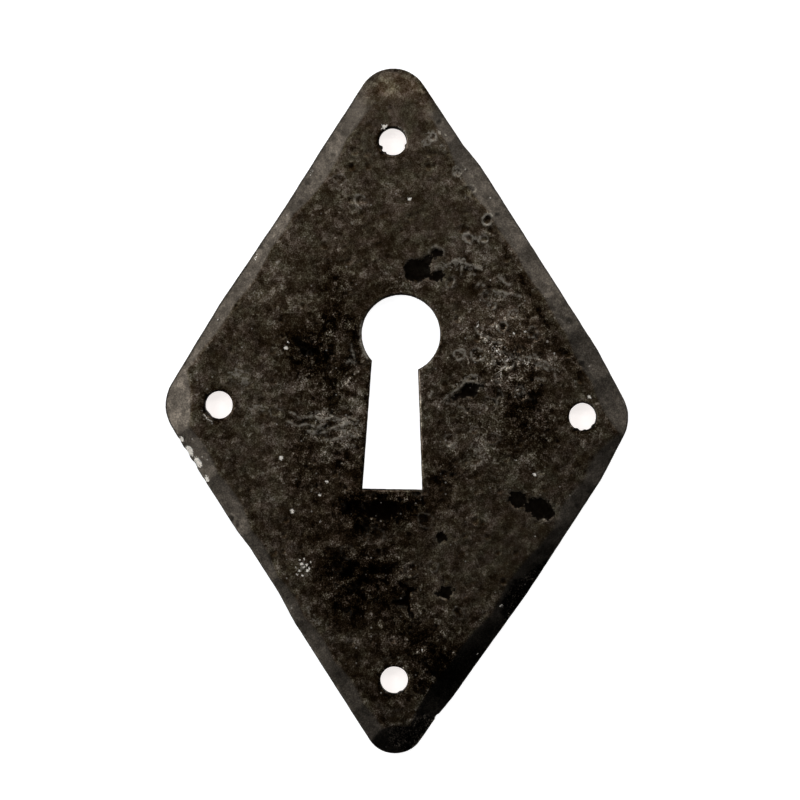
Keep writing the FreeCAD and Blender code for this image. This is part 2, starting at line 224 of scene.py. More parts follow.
# Where the scale is more broken up, or less: x, z, half-widths across and up, how much.
BROKEN = (
    (-0.7, 24.0, 9.0, 6.0, -0.4), (11.0, -2.0, 5.0, 6.0, 0.45), (-7.0, -8.5, 4.5, 5.0, 0.35),
    (7.0, -12.0, 4.0, 6.0, 0.25), (4.0, 12.0, 6.0, 4.0, -0.3), (12.0, -23.5, 5.0, 4.5, -0.35),
    (-18.5, -6.0, 4.0, 4.0, -0.1),
)

# Where the scale is lighter or darker than elsewhere: x, z, half-widths across and
# up, turn in degrees, and how much, in doublings of the light it gives back.
TONES = (
    (-9.9, -2.3, 2.0, 2.3, 0, -3.8), (-7.1, 1.3, 1.3, 1.2, 0, -3.8),
    (-7.2, 4.9, 1.4, 2.2, 0, -2.1), (-8.6, -0.4, 2.2, 1.6, 0, -1.0),
    (-7.5, -6.0, 1.5, 1.3, 0, -1.6), (-5.9, -3.8, 1.3, 1.3, 0, -1.9),
    (-10.6, -14.5, 1.8, 2.9, 0, -2.2), (-6.3, -14.5, 1.4, 1.3, 0, -2.6),
    (-1.6, -19.2, 3.7, 1.5, -4, -5.0), (-5.4, -19.2, 1.6, 1.4, 0, -1.9),
    (-4.3, -20.8, 1.2, 1.0, 0, -2.0), (-5.0, -27.2, 2.9, 2.6, 0, -4.3),
    (-7.3, -25.9, 1.5, 1.5, 0, -2.0), (-6.2, -30.0, 2.0, 1.6, 0, -1.6),
    (-9.2, -21.9, 2.5, 1.8, 0, -1.2), (13.7, -8.4, 2.4, 4.2, 0, -2.4),
    (15.4, -10.6, 2.0, 2.2, 0, -0.8), (18.2, -2.9, 1.0, 1.2, 0, -1.1),
    (4.4, -15.6, 1.2, 1.2, 0, -2.0), (4.0, -37.4, 2.4, 2.6, 0, -2.7),
    (7.4, -36.3, 1.8, 1.4, 0, -1.4), (3.2, -34.4, 2.2, 1.6, 0, -1.4),
    (15.6, 2.1, 8.5, 0.4, -59.3, -1.5), (-0.1, 5.4, 2.0, 0.7, 0, -1.2),
    (-1.8, -26.7, 1.8, 2.4, 0, -1.8), (-0.1, -32.8, 2.8, 2.2, 0, -1.2),
    (-2.3, -25.0, 4.5, 4.5, 0, -0.7), (-11.2, 0.4, 3.0, 3.5, 0, -0.5),
    (-5.1, 14.8, 1.1, 1.1, 0, 0.6), (-0.3, 15.9, 1.3, 2.0, 0, 0.4),
    (8.2, 8.7, 2.0, 1.6, 0, 0.6), (9.9, 1.0, 3.5, 3.0, 0, 0.1), (-16.7, -5.1, 2.2, 1.8, 0, 0.5),
    (3.2, -7.3, 1.0, 3.0, 0, 0.8), (-4.9, -5.6, 0.6, 2.2, 0, 0.6),
    (-6.2, -10.0, 2.5, 1.3, 0, 0.5), (15.9, -4.5, 1.3, 1.3, 0, 0.5),
    (-2.9, -22.3, 1.8, 1.0, 0, 0.4), (3.2, -20.6, 1.6, 1.2, 0, 0.5),
    (5.4, -11.7, 0.8, 0.8, 0, 0.5), (8.2, -13.9, 0.9, 0.9, 0, 0.5),
    (10.1, -11.7, 0.8, 0.8, 0, 0.4), (-5.9, -24.2, 0.9, 0.9, 0, 0.5),
    (-15.0, -11.7, 4.0, 4.5, 0, 0.5), (7.6, -26.1, 3.0, 3.0, 0, 0.3),
    (21.0, -8.5, 2.5, 3.0, 0, 0.3), (-0.7, 22.0, 6.0, 5.0, 0, 0.2),
    (0.2, 27.4, 3.4, 2.4, 0, -0.25), (2.0, -38.0, 7.0, 7.0, 0, -0.7),
)

# Painted light and shade on the hammered rim alone, in the same columns: each side of the rim
# is made lighter or darker for how the light falls on it, darkest where the rim dips away
# from the light at lower right.
RIM_PAINTED_LIGHT_AND_SHADE = (
    (21.4, -18.0, 6.5, 2.8, 54.0, 0.8), (14.7, -29.3, 4.4, 2.4, 54.0, -2.6),
    (8.7, -37.0, 5.6, 2.3, 54.0, -0.8), (8.6, -33.2, 13.0, 2.4, 54.0, 0.3),
    (1.4, -44.2, 2.8, 2.2, 0, -1.2), (-0.4, 28.5, 4.5, 3.0, 0, -0.2),
    (-22.5, -5.5, 2.6, 4.0, 0, 0.15), (-13.2, 11.6, 4.0, 2.4, 57, 0.2),
    (6.0, 21.0, 5.0, 3.0, -59.0, -0.35), (19.5, -2.5, 5.0, 3.0, -59.0, -0.45),
    (-14.0, -28.0, 6.0, 3.5, -57.0, -0.3), (3.0, 28.0, 4.0, 3.0, 0, -0.2),
)

# Crusts of pale scale with ragged edges: x, z, half-widths across and up, turn.
PALE_CRUSTS = (
    (2.9, 21.2, 0.6, 0.6, 20), (3.7, 22.2, 0.7, 0.3, -10), (4.6, 20.6, 0.35, 0.3, 0),
    (6.2, 17.9, 0.5, 0.45, 0), (-18.1, -4.3, 0.9, 0.35, 15), (-17.4, -5.3, 0.5, 0.6, 0),
    (-15.9, -8.2, 0.8, 0.35, 0), (4.4, 7.5, 0.9, 0.45, 20), (6.1, 7.9, 0.4, 0.7, -20),
    (7.5, 7.2, 0.7, 0.25, -40), (6.9, -5.2, 0.8, 0.25, 30), (8.3, -4.75, 0.5, 0.25, -20),
    (5.0, -7.2, 0.7, 0.25, 35), (11.0, 4.4, 0.9, 0.25, 0), (14.6, -2.6, 0.7, 0.3, 10),
    (15.7, -3.6, 0.9, 0.2, -15), (-10.8, -25.8, 0.45, 0.5, 0), (-10.4, -30.5, 0.35, 0.3, 0),
    (-9.3, -31.7, 0.5, 0.25, -50), (-7.0, -9.6, 1.6, 0.15, -15), (-8.6, -8.6, 1.1, 0.15, 10),
    (-6.0, -11.0, 1.3, 0.15, -20), (5.5, -12.4, 0.4, 0.5, 20), (8.6, -12.7, 0.6, 0.3, 0),
)

# The worn end of the plate: x, z, half-widths across and up, turn.
WORN_TIP = (0.1, 26.6, 4.2, 3.0, 0)

# Where rust shows through the scale: x, z, half-widths across and up, strength.
RUSTY = (
    (13.0, -3.0, 4.0, 6.0, 1.0), (11.0, 1.5, 4.5, 3.0, 0.7), (-14.5, 4.5, 3.5, 2.5, 0.6),
    (-4.7, -16.0, 3.0, 6.0, 0.7), (-12.0, -14.0, 4.0, 5.0, 0.5), (-5.0, 11.0, 4.0, 3.0, 0.4),
    (5.0, -16.0, 2.0, 4.0, 0.8), (-8.0, -22.0, 4.0, 4.0, 0.7), (0.0, -30.0, 6.0, 6.0, 0.4),
)

# Arcs round the holes: centre x, z, radius, start and end of the arc in degrees from
# +X towards +Z, how pale or, below 0, dark. The pale arcs are marks that the punch and the
# nail heads left; the dark ones darken the very edges of the holes.
HOLE_ARCS = (
    (-0.9, 21.3, 2.3, 140, 235, 0.4), (-0.9, 21.3, 2.95, 150, 225, 0.35),
    (-0.9, 21.3, 3.3, 155, 200, 0.55), (-0.9, 21.3, 1.75, 15, 80, 0.9),
    (-0.9, 21.3, 1.9, 105, 140, 1.0), (-0.9, 21.3, 1.65, 85, 255, -0.9),
    (-20.2, -7.85, 2.5, 10, 95, 0.5), (-20.2, -7.85, 3.1, 5, 80, 0.5),
    (-20.2, -7.85, 3.7, 15, 70, 0.3), (-20.2, -7.85, 1.95, 205, 255, 1.0),
    (-20.2, -7.85, 1.7, 165, 300, -1.1), (-20.2, -7.85, 1.65, 0, 180, -0.6),
    (20.1, -9.2, 2.1, 70, 140, 0.4), (20.1, -9.2, 1.65, 215, 355, -1.1),
    (20.1, -9.2, 1.65, 100, 220, -0.5), (-0.75, -38.35, 2.6, 95, 150, 0.45),
    (-0.75, -38.35, 3.3, 225, 290, 0.45), (-0.75, -38.35, 3.9, 240, 285, 0.3),
    (-0.75, -38.35, 1.65, 0, 360, -0.6),
)

# Middles of the four nail holes: x, z.
NAIL_HOLES = ((-0.9, 21.3), (-20.2, -7.85), (20.1, -9.2), (-0.75, -38.35))

# Burrs that stand into the nail holes: x, z, radius, depth (below 0: into the hole), turn.
HOLE_BURRS = (
    (-2.25, 20.65, 0.3, -0.28, 0), (-1.75, 20.05, 0.2, -0.12, 0), (0.5, 20.9, 0.2, -0.16, 0),
    (19.5, -10.6, 0.3, -0.14, 0), (20.4, -10.75, 0.25, -0.12, 0), (21.3, -10.2, 0.3, -0.12, 0),
    (-21.4, -8.9, 0.5, -0.1, 0), (-0.1, -39.8, 0.3, -0.1, 0),
)

# Chips knocked out of the rim: x, z, radius, depth, turn of the pale break.
RIM_CHIPS = (
    (-24.3, -11.6, 0.42, 0.12, -55), (-23.4, -12.9, 0.72, 0.2, -52),
    (-22.5, -14.2, 0.75, 0.2, -58), (-21.5, -16.05, 0.5, 0.1, -64),
    (-20.3, 1.5, 0.35, 0.05, 60), (-16.1, 8.5, 0.4, 0.06, 57), (-9.9, 17.9, 0.5, 0.05, 57),
    (4.0, -42.4, 0.4, 0.12, 30),
)


# The plate's own mesh


def merged_copy(node_name):
    """The CAD node's surface as a bmesh whose loose triangles share their corners."""
    surface = bmesh.new()
    surface.from_mesh(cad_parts[node_name].data)
    bmesh.ops.remove_doubles(surface, verts=surface.verts, dist=0.001 * MM)
    surface.normal_update()
    return surface


def rim_loops(surface):
    """The outline and the cut-outs as closed loops of (x, z), the outline first."""
    back = [face for face in surface.faces
            if face.normal.y > 0.999 and abs(face.calc_center_median().y) < 0.001 * MM]
    on_back = set(back)
    following = {}
    for face in back:
        for corner in face.loops:
            if sum(other in on_back for other in corner.edge.link_faces) == 1:
                following[corner.vert] = corner.link_loop_next.vert
    loops = []
    while following:
        start, vert = following.popitem()
        loop = [start.co.xz]
        while vert is not start:
            loop.append(vert.co.xz)
            vert = following.pop(vert)
        loops.append(np.array(loop))
    loops.sort(key=lambda loop: -np.ptp(loop[:, 1]))
    return loops


def divided(loop, spacing):
    """The loop with each of its edges divided to about the spacing."""
    points = []
    for start, end in zip(loop, np.roll(loop, -1, axis=0)):
        count = max(1, math.ceil(np.hypot(*(end - start)) / spacing))
        points += [start + (end - start) * step / count for step in range(count)]
    return np.array(points)


def inward(loop):
    """For each point of a loop, the direction from the rim into the iron."""
    along = np.roll(loop, -1, axis=0) - np.roll(loop, 1, axis=0)
    along /= np.hypot(along[:, 0], along[:, 1])[:, None]
    return along[:, ::-1] * np.array([1.0, -1.0])


def in_iron(places, loops):
    """Which places lie in the iron: those with an odd number of rims to their right."""
    across, up = np.asarray(places).T
    inside = np.zeros(len(across), bool)
    for loop in loops:
        for (x0, z0), (x1, z1) in zip(loop, np.roll(loop, -1, axis=0)):
            level = np.flatnonzero((up < z0) != (up < z1))
            crossing = x0 + (up[level] - z0) * (x1 - x0) / (z1 - z0) if len(level) else 0
            inside[level] ^= across[level] < crossing
    return inside


def build_plate_mesh(sizes):
    """A dense, even mesh of the CAD plate: fine in front, coarser behind.

    Returns the points, the triangles and, for each point, its distance from the
    rim and whether it lies in front.
    """
    surface = merged_copy(PLATE_NODE)
    tree = BVHTree.FromBMesh(surface)
    low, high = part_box(PLATE_NODE)
    spacing = sizes.mesh_spacing
    loops = [divided(loop, spacing * 1.1) for loop in rim_loops(surface)]
    surface.free()

    def front_height(x, z):
        hit = tree.ray_cast(Vector((x, low.y - 5 * MM, z)), Vector((0, 1, 0)))[0]
        return None if hit is None else hit.y

    # Which side of a loop is iron: tried on the outline and on each cut-out.
    steps = []
    for loop in loops:
        step = inward(loop)
        probe = loop + step * 0.02 * MM
        inside = sum(front_height(x, z) is not None for x, z in probe)
        steps.append(step if inside > len(loop) / 2 else -step)

    rounding = sizes.rim_rounding
    ring_insets = (0.0, 0.3 * rounding, rounding)
    ragged = sizes.rim_raggedness
    rings = []
    for number, (loop, step) in enumerate(zip(loops, steps)):
        broad, fine, start = (1.6, 0.6, 0.5) if number == 0 else (0.9, 0.35, 0.1)
        rough = np.array([
            start + 0.5 * noise.noise(Vector((x, 0, z)) / (broad * MM))
            + 0.35 * noise.noise(Vector((x, 7 * MM, z)) / (fine * MM)) for x, z in loop])
        retreat = np.clip(rough, 0, 1.3) * ragged
        for x, z, radius, depth, _ in RIM_CHIPS + HOLE_BURRS:
            gap = np.hypot(loop[:, 0] - x * MM, loop[:, 1] - z * MM) / (radius * MM)
            retreat = retreat + depth * MM * np.clip(1 - gap ** 2, 0, 1)
        loop = loop + step * retreat[:, None]
        rings.append([loop + step * inset for inset in ring_insets])

    rim_tree = KDTree(sum(len(loop) for loop in loops))
    number = 0
    for ring in rings:
        for x, z in ring[0]:
            rim_tree.insert((x, z, 0.0), number)
            number += 1
    rim_tree.balance()

    def grid(pitch, clearance):
        """An even triangular grid of points inside the plate, clear of its rims."""
        found = []
        row_height = pitch * math.sqrt(3) / 2
        for row in range(int((high.z - low.z) / row_height) + 2):
            z = low.z + row * row_height
            start = low.x + (row % 2) * pitch / 2
            for column in range(int((high.x - low.x) / pitch) + 2):
                x = start + column * pitch
                if front_height(x, z) is None:
                    continue
                if rim_tree.find((x, z, 0.0))[2] > clearance:
                    found.append((x, z))
        found = np.array(found)
        return found[in_iron(found, [ring[0] for ring in rings])]

    def triangles(flat, outline_loops):
        """Triangulate flat points, and keep the triangles that lie in the iron."""
        edges = []
        for loop in outline_loops:
            edges += list(zip(loop, loop[1:] + loop[:1]))
        verts, _, faces, *_ = delaunay_2d_cdt(
            [Vector(p) for p in flat], edges, [], 0, 1e-9, False)
        if len(verts) != len(flat):
            raise RuntimeError("the plate's rim crosses itself")
        flat, faces = np.array(flat), np.array(faces)
        kept = in_iron(flat[faces].mean(axis=1), [flat[loop] for loop in outline_loops])
        return faces[kept].tolist()

    points, faces = [], []

    # Front: the rims' rings and the fine grid.
    flat, heights, ring_numbers = [], [], []
    for number, ring in enumerate(rings):
        step = steps[number]
        start = len(flat)
        ring_numbers.append(list(range(start, start + len(ring[0]))))
        for inset, places in zip(ring_insets, ring):
            lift = 0.0
            if number == 0:
                lift = rounding - math.sqrt(max(0.0, rounding ** 2 - (rounding - inset) ** 2))
            for (x, z), (dx, dz) in zip(places, step):
                height = front_height(x, z)
                nudge = 0.01 * MM
                while height is None:
                    height = front_height(x + dx * nudge, z + dz * nudge)
                    nudge *= 2
                flat.append((x, z))
                heights.append(height + lift)
    inner = grid(spacing, rounding + 0.45 * spacing)
    for x, z in inner:
        flat.append((x, z))
        heights.append(front_height(x, z))
    front_faces = triangles(flat, ring_numbers)
    points += [(x, y, z) for (x, z), y in zip(flat, heights)]
    faces += [tuple(face) for face in front_faces]
    front_count = len(points)

    # Back: the same rims, eased a little, and a coarser grid.
    back_flat, back_loops = [], []
    wall_foot = []
    back_ease = sizes.back_rounding
    for number, ring in enumerate(rings):
        start = len(points)
        places = ring[0]
        points += [(x, -back_ease, z) for x, z in places]
        wall_foot.append(list(range(start, len(points))))
        start = len(back_flat)
        back_flat += [tuple(p) for p in places + steps[number] * back_ease]
        back_loops.append(list(range(start, len(back_flat))))
    back_flat += [tuple(p) for p in grid(sizes.back_spacing, 0.5 * sizes.back_spacing)]
    back_faces = triangles(back_flat, back_loops)
    back_start = len(points)
    points += [(x, 0.0, z) for x, z in back_flat]
    faces += [tuple(back_start + i for i in reversed(face)) for face in back_faces]

    # Walls: rows of faces from the front rim to the back rim.
    rows = sizes.wall_rows
    for number, ring in enumerate(rings):
        above = ring_numbers[number]
        foot = wall_foot[number]
        count = len(above)
        for row in range(1, rows + 1):
            if row == rows:
                below = foot
            else:
                start = len(points)
                for top, bottom in zip(above, foot):
                    share = 1 / (rows - row + 1)
                    points.append(tuple(np.array(points[top]) * (1 - share)
                                        + np.array(points[bottom]) * share))
                below = list(range(start, len(points)))
            for i in range(count):
                j = (i + 1) % count
                faces.append((above[i], above[j], below[j], below[i]))
            above = below
        last = [back_start + i for i in back_loops[number]]
        for i in range(count):
            j = (i + 1) % count
            faces.append((above[i], above[j], last[j], last[i]))

    points = np.array(points)
    rim_distance = np.array([rim_tree.find((x, z, 0.0))[2] for x, _, z in points])
    in_front = np.zeros(len(points))
    in_front[:front_count] = 1.0
    return points, faces, rim_distance, in_front


def soften_creases(points, faces, in_front, rounds, tip_rounds):
    """Let the hammer blows' creases run softly into each other, most of all at the tip."""
    pairs = set()
    for face in faces:
        if len(face) == 3 and all(in_front[i] for i in face):
            a, b, c = face
            pairs.update((min(p), max(p)) for p in ((a, b), (b, c), (a, c)))
    pairs = np.array(sorted(pairs))
    count = np.zeros(len(points))
    np.add.at(count, pairs[:, 0], 1)
    np.add.at(count, pairs[:, 1], 1)
    heights = points[:, 1].copy()
    worn = smoothstep(1.3, 0.8, from_worn_tip(points))
    for number in range(rounds + tip_rounds):
        total = np.bincount(pairs[:, 0], heights[pairs[:, 1]], len(points))
        total += np.bincount(pairs[:, 1], heights[pairs[:, 0]], len(points))
        pull = np.where(count > 0, 0.6 if number < rounds else 0.6 * worn, 0.0)
        heights += pull * (total / np.maximum(count, 1) - heights)
    return heights


def noise_at(points, width, layer):
    """Smooth noise from -1 to 1 at each point, its swells as wide as given in mm."""
    start = Vector((0, 7.3 * layer, 0))
    return np.array([noise.noise(Vector(p) / (width * MM) + start) for p in points.tolist()])


def wandering(points, width, reach):
    """The points' x and z in millimetres, each led astray a little by smooth noise."""
    return (points[:, 0] / MM + reach * noise_at(points, width, 1),
            points[:, 2] / MM + reach * noise_at(points, width, 2))


def in_oval(x, z, oval):
    """Distance from an oval's middle, in half-widths."""
    centre_x, centre_z, half_x, half_z, turn = oval
    c, s = math.cos(math.radians(turn)), math.sin(math.radians(turn))
    across, up = x - centre_x, z - centre_z
    return np.hypot((across * c + up * s) / half_x, (up * c - across * s) / half_z)


def from_worn_tip(points):
    """Each point's distance from the middle of the worn tip, in half-widths."""
    return in_oval(points[:, 0] / MM, points[:, 2] / MM, WORN_TIP)


def beside(x, z, start_x, start_z, end_x, end_z):
    """Distance from a straight line between two places."""
    across, up = end_x - start_x, end_z - start_z
    share = np.clip(((x - start_x) * across + (z - start_z) * up) / (across ** 2 + up ** 2), 0, 1)
    return np.hypot(x - start_x - share * across, z - start_z - share * up)


def mark_plate(points, in_front):
    """The plate's own marks, one number for each point of the mesh."""
    marks = {name: np.zeros(len(points)) for name in
             ("tone", "rim_tone", "rust", "broken", "patch", "pale", "lip", "line", "ring",
              "fleck", "pit")}
    broad_wander, fine_wander = (2.2, 0.7), (0.7, 0.3)
    x, z = wandering(points, *broad_wander)
    for *oval, amount in TONES:
        marks["tone"] += amount * np.exp(-0.8 * in_oval(x, z, oval) ** 2)
    # Painted light and shade on the hammered rim, lighter or darker side by side.
    for *oval, amount in RIM_PAINTED_LIGHT_AND_SHADE:
        marks["rim_tone"] += amount * smoothstep(1.25, 0.75, in_oval(x, z, oval))
    for cx, cz, half_x, half_z, amount in RUSTY:
        marks["rust"] += amount * np.exp(-in_oval(x, z, (cx, cz, half_x, half_z, 0)) ** 2)
    for cx, cz, half_x, half_z, amount in BROKEN:
        marks["broken"] += amount * np.exp(-in_oval(x, z, (cx, cz, half_x, half_z, 0)) ** 2)
    x, z = wandering(points, *fine_wander)
    patch = np.full(len(points), -3.0)
    for oval in BLACK_PATCHES:
        patch = np.maximum(patch, (1 - in_oval(x, z, oval)) * min(oval[2], oval[3]))
    for crack in CRACKS:
        for start, end in zip(crack, crack[1:]):
            gap = beside(x, z, *start, *end)
            patch = np.maximum(patch, 0.3 - gap)
            marks["tone"] -= 3 * np.exp(-(gap / 0.3) ** 2)
    marks["patch"] = patch
    pale = np.full(len(points), -3.0)
    for oval in PALE_CRUSTS:
        pale = np.maximum(pale, (1 - in_oval(x, z, oval)) * min(oval[2], oval[3]))
    marks["pale"] = pale
    # A round pit's lip is broken here and there. The outlines stay thin and sharp as
    # distances in mm, below 0 inside a pit and above 0 on a ridge.
    ring, line = np.full(len(points), 3.0), np.full(len(points), -3.0)
    whole = noise_at(points, 0.8, 3)
    for cx, cz, radius, depth, pale in RING_PITS:
        gap = np.hypot(x - cx, z - cz)
        lip = np.exp(-((gap - radius) / 0.17) ** 2)
        bowl = smoothstep(radius, 0.35 * radius, gap)
        marks["lip"] = np.maximum(
            marks["lip"], pale * lip * smoothstep(-0.7, -0.05, whole))
        ring = np.minimum(ring, gap - radius)
        marks["pit"] += 0.6 * depth * (bowl - 0.4 * lip)
        marks["tone"] -= 14 * depth * bowl
    x, z = wandering(points, 0.6, 0.06)
    for cx, cz, radius, start, end, pale in HOLE_ARCS:
        gap = np.hypot(x - cx, z - cz)
        facing = np.degrees(np.arctan2(z - cz, x - cx)) % 360
        middle, half = (start + end) / 2, (end - start) / 2
        aside = np.abs((facing - middle + 180) % 360 - 180)
        width = 0.11 if pale > 0 else 0.3
        arc = np.exp(-((gap - radius) / width) ** 2) * smoothstep(half, half * 0.6, aside)
        marks["lip"] = np.maximum(marks["lip"], pale * arc)
        marks["tone"] += 3.5 * min(pale, 0) * arc
        marks["pit"] -= 0.02 * pale * arc
        marks["fleck"] = np.maximum(marks["fleck"], 0.9 * (pale - 0.5) * arc)
    x, z = wandering(points, 0.5, 0.14)
    for pale, *course in RIDGES:
        gap = np.min([beside(x, z, *a, *b) for a, b in zip(course, course[1:])], axis=0)
        ridge = pale * np.exp(-(gap / 0.16) ** 2)
        marks["lip"] = np.maximum(marks["lip"], 1.1 * ridge)
        marks["pit"] -= 0.02 * ridge
        line = np.maximum(line, 0.14 + 0.06 * whole - gap)
        # A dark line on both sides of each ridge is a painted shadow.
        marks["tone"] -= 1.3 * pale * np.exp(-((gap - 0.4) / 0.2) ** 2)
    # Flecks of bare grains, their near-white partly a painted glint.
    for cx, cz, radius, bright_and_glint in BRIGHT_FLECKS_AND_GLINTS:
        spot = np.clip(1 - np.hypot(x - cx, z - cz) / (1.5 * radius), 0, 1)
        marks["fleck"] = np.maximum(marks["fleck"], bright_and_glint * spot)
    # Scratches, and the painted highlights and painted shade along the slot's eased edges.
    for *stroke, half_width, amount in STROKES_AND_EDGE_LIGHT:
        gap = beside(x, z, *stroke) / half_width
        marks["tone"] += amount * np.exp(-gap ** 2)
    for cx, cz, radius, depth, turn in RIM_CHIPS:
        gap = in_oval(x, z, (cx, cz, radius, 0.5 * radius, turn))
        pale = 0.55 * min(1.0, 10 * depth)
        marks["fleck"] = np.maximum(marks["fleck"], pale * np.clip(2 - 1.6 * gap, 0, 1))
    marks["pit"] += 0.06 * smoothstep(-0.05, 0.25, patch)
    marks["line"], marks["ring"] = line, ring
    for name in ("lip", "fleck", "pit", "rim_tone", "broken", "rust"):
        marks[name] *= in_front
    marks["tone"] = np.where(in_front > 0, marks["tone"], 0.0)
    for name in ("patch", "pale"):
        marks[name] = np.where(in_front > 0, marks[name], -3.0)
    return marks


def add_relief(plate, material, sizes):
    """Give the plate its fine relief: hammered swells, grit and small round pits."""
    tree = bpy.data.node_groups.new("forged_relief", "GeometryNodeTree")
    tree.is_modifier = True
    face = tree.interface
    face.new_socket("Geometry", in_out="INPUT", socket_type="NodeSocketGeometry")
    wanted = {}
    for name in ("Swell Depth", "Swell Width", "Grit Depth", "Grit Width", "Pit Depth",
                 "Pit Spacing", "Pit Radius", "Seed"):
        socket = face.new_socket(name, in_out="INPUT", socket_type="NodeSocketFloat")
        wanted[name] = socket.identifier
    wanted["Material"] = face.new_socket(
        "Material", in_out="INPUT", socket_type="NodeSocketMaterial").identifier
    face.new_socket("Geometry", in_out="OUTPUT", socket_type="NodeSocketGeometry")

    add = partial(add_node, tree)
    given = add("NodeGroupInput", output=None)
    place = add("GeometryNodeInputPosition")
    mask = add("GeometryNodeInputNamedAttribute", {"Name": "face"}, data_type="FLOAT")
    pits = add("GeometryNodeInputNamedAttribute", {"Name": "pit"}, data_type="FLOAT")
    swells, grains, holes = [add(MATH, (1.0, given[width]), operation="DIVIDE")
                             for width in ("Swell Width", "Grit Width", "Pit Spacing")]

    swell = add(NOISE, {"Vector": place, "W": given["Seed"], "Scale": swells, "Detail": 1.0},
                noise_dimensions="4D")
    swell = add(RANGE, (swell, 0.25, 0.75, 0.0, given["Swell Depth"]))
    crust = add(NOISE, {"Vector": place, "W": given["Seed"], "Scale": 1 / (4.5 * MM),
                        "Detail": 2.0}, noise_dimensions="4D")
    crust = add(RANGE, (crust, 0.42, 0.6, 0.35, 1.0))
    grit = add(NOISE, {"Vector": place, "W": given["Seed"], "Scale": grains, "Detail": 2.5,
                       "Roughness": 0.6}, noise_dimensions="4D")
    grit = add(RANGE, (grit, 0.3, 0.7, 0.0, given["Grit Depth"]))
    grit = add(MATH, (grit, crust), operation="MULTIPLY")

    apart = add("ShaderNodeSeparateXYZ", (place,), output=None)
    flat = add("ShaderNodeCombineXYZ", (apart[0], apart[2]))
    cells = add("ShaderNodeTexVoronoi", {"Vector": flat, "Scale": holes, "Randomness": 1.0},
                output=None, voronoi_dimensions="2D", feature="F1")
    chance = add("ShaderNodeSeparateXYZ", (cells["Color"],), output=None)
    gap = add(MATH, (cells["Distance"], given["Pit Spacing"]), operation="MULTIPLY")
    radius = add(RANGE, (chance[0], 0.0, 1.0, 0.45, 1.15))
    radius = add(MATH, (radius, given["Pit Radius"]), operation="MULTIPLY")
    share = add(MATH, (gap, radius), operation="DIVIDE")
    there = add(RANGE, (chance[1], 0.45, 0.75))
    there = add(MATH, (there, crust), operation="MULTIPLY")
    bowl = add(RANGE, (share, 1.0, 0.3), interpolation_type="SMOOTHSTEP")
    bowl = add(MATH, (bowl, there), operation="MULTIPLY")
    lip = add(MATH, (share, 1.0), operation="SUBTRACT")
    lip = add(MATH, (lip,), operation="ABSOLUTE")
    lip = add(RANGE, (lip, 0.4, 0.0), interpolation_type="SMOOTHSTEP")
    lip = add(MATH, (lip, there), operation="MULTIPLY")
    hollow = add(MATH, (lip, -0.35, bowl), operation="MULTIPLY_ADD")
    hollow = add(MATH, (hollow, given["Pit Depth"]), operation="MULTIPLY")
    hollow = add(MATH, (pits, MM, hollow), operation="MULTIPLY_ADD")
    for part in (swell, grit, 0.02 * MM):
        hollow = add(MATH, (hollow, part), operation="ADD")
    # The highest lips stay under the flat that the plate was rolled to.
    hollow = add(MATH, (hollow, 0.0), operation="MAXIMUM")
    hollow = add(MATH, (hollow, mask), operation="MULTIPLY")
    into = add(MATH, (hollow, -1.0), operation="MULTIPLY")
    offset = add("ShaderNodeVectorMath", {0: add("GeometryNodeInputNormal"), "Scale": into},
                 operation="SCALE")
    shaped = given["Geometry"]
    for name, value in (("pit_lip", lip), ("pit_floor", bowl), ("crust", crust)):
        shaped = add("GeometryNodeStoreNamedAttribute", {
            "Geometry": shaped, "Name": name, "Value": value}, data_type="FLOAT", domain="POINT")
    shaped = add("GeometryNodeSetPosition", {"Geometry": shaped, "Offset": offset})
    shaped = add("GeometryNodeRealizeInstances", (shaped,))
    shaped = add("GeometryNodeSetMaterial", {"Geometry": shaped, "Material": given["Material"]})
    add("NodeGroupOutput", (shaped,))

    relief = plate.modifiers.new("forged relief", "NODES")
    relief.node_group = tree
    values = {
        "Swell Depth": sizes.swell_depth, "Swell Width": sizes.swell_width,
        "Grit Depth": sizes.grit_depth, "Grit Width": sizes.grit_width,
        "Pit Depth": sizes.pit_depth, "Pit Spacing": sizes.pit_spacing,
        "Pit Radius": sizes.pit_radius, "Seed": 4.0, "Material": material}
    for name, value in values.items():
        relief[wanted[name]] = value
    evaluated = plate.evaluated_get(bpy.context.evaluated_depsgraph_get())
    finished = bpy.data.meshes.new_from_object(evaluated)
    finished.name = plate.name
    plate.modifiers.remove(relief)
    plate.data = finished


